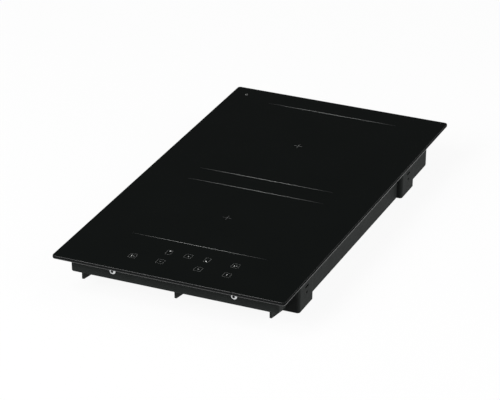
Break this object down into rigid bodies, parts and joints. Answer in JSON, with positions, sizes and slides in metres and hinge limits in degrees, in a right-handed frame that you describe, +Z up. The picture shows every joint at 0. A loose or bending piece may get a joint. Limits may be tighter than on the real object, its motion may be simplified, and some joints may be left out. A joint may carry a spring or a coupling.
{
  "type": "induction hob",
  "caption": "Built-in two-zone induction hob: black glass-ceramic plate over a moulded case with coils, boards, touch controls and a cooling blower.",
  "frame": {"origin": "under the middle of the glass, at the level of the case's underside", "axes": "+Z up, -Y the control side that faces the cook, +X to the cook's right"},
  "size_m": [0.288, 0.52, 0.0475],
  "materials": {
    "glass_ceramic": "polished black, opaque",
    "tub_plastic": "fine spark texture, black",
    "frame_steel": "black paint",
    "silicone": "matt black silicone",
    "foam": "closed-cell foam, dark grey",
    "plated_steel": "zinc plated",
    "sheet_aluminium": "mill finish",
    "former_plastic": "glass-filled, dark grey",
    "ferrite": "matt sintered",
    "litz_wire": "enamelled copper litz",
    "mica": "pressed mica",
    "spring_steel": "plain",
    "sensor_metal": "plain",
    "circuit_board": "green solder mask",
    "package_epoxy": "moulded epoxy",
    "film_capacitor": "grey moulded case",
    "capacitor_can": "sleeved can",
    "transformer_tape": "tape wound",
    "terminal_plastic": "natural polyamide",
    "terminal_brass": "plain",
    "fuse_body": "plain",
    "relay_case": "plain",
    "blower_plastic": "glass-filled, black",
    "bush_bronze": "sintered",
    "magnet": "bonded ferrite",
    "stator_steel": "lacquered laminations",
    "holder_plastic": "plain, light grey",
    "pad_foam": "conductive foam",
    "display_face": "dark face",
    "ribbon": "grey insulation"
  },
  "bodies": {
    "hob": {"adhesive_bead": "silicone", "base_tub": "tub_plastic", "blower_bushes": "bush_bronze", "blower_cover": "blower_plastic", "blower_housing": "blower_plastic", "blower_screws": "plated_steel", "blower_stator": "stator_steel", "board_screws": "plated_steel", "bridge_rectifier": "package_epoxy", "bus_capacitors": "film_capacitor", "cable_gland": "tub_plastic", "carrier_plate": "sheet_aluminium", "case_screws": "plated_steel", "clamp_screws": "plated_steel", "coil_terminals": "terminal_brass", "control_board": "circuit_board", "control_holder": "holder_plastic", "cord_clamp": "terminal_plastic", "electrolytic_capacitors": "capacitor_can", "fan_guard": "tub_plastic", "filter_board": "circuit_board", "filter_capacitors": "film_capacitor", "filter_choke": "litz_wire", "front_coil_ferrites": "ferrite", "front_coil_former": "former_plastic", "front_coil_springs": "spring_steel", "front_heat_sensor": "sensor_metal", "front_mica_sheet": "mica", "front_winding": "litz_wire", "gland_nut": "tub_plastic", "glass_frame": "frame_steel", "glass_plate": "glass_ceramic", "heat_sink": "sheet_aluminium", "inverter_board": "circuit_board", "mains_fuse": "fuse_body", "mains_relay": "relay_case", "plate_screws": "plated_steel", "power_transistors": "package_epoxy", "rear_coil_ferrites": "ferrite", "rear_coil_former": "former_plastic", "rear_coil_springs": "spring_steel", "rear_heat_sensor": "sensor_metal", "rear_mica_sheet": "mica", "rear_winding": "litz_wire", "resonance_capacitors": "film_capacitor", "ribbon_cable": "ribbon", "segment_displays": "display_face", "terminal_block": "terminal_plastic", "terminal_screws": "terminal_brass", "touch_pads": "pad_foam", "transformer": "transformer_tape", "worktop_seal": "foam"},
    "impeller": {"blower_impeller": "blower_plastic", "blower_magnet": "magnet", "blower_shaft": "spring_steel"}
  },
  "joints": [
    {"name": "blower_spin", "type": "hinge", "parent": "hob", "child": "impeller", "pos_m": [-0.0623, 0.15, 0.015], "axis": [0, 0, 1], "continuous": true}
  ]
}
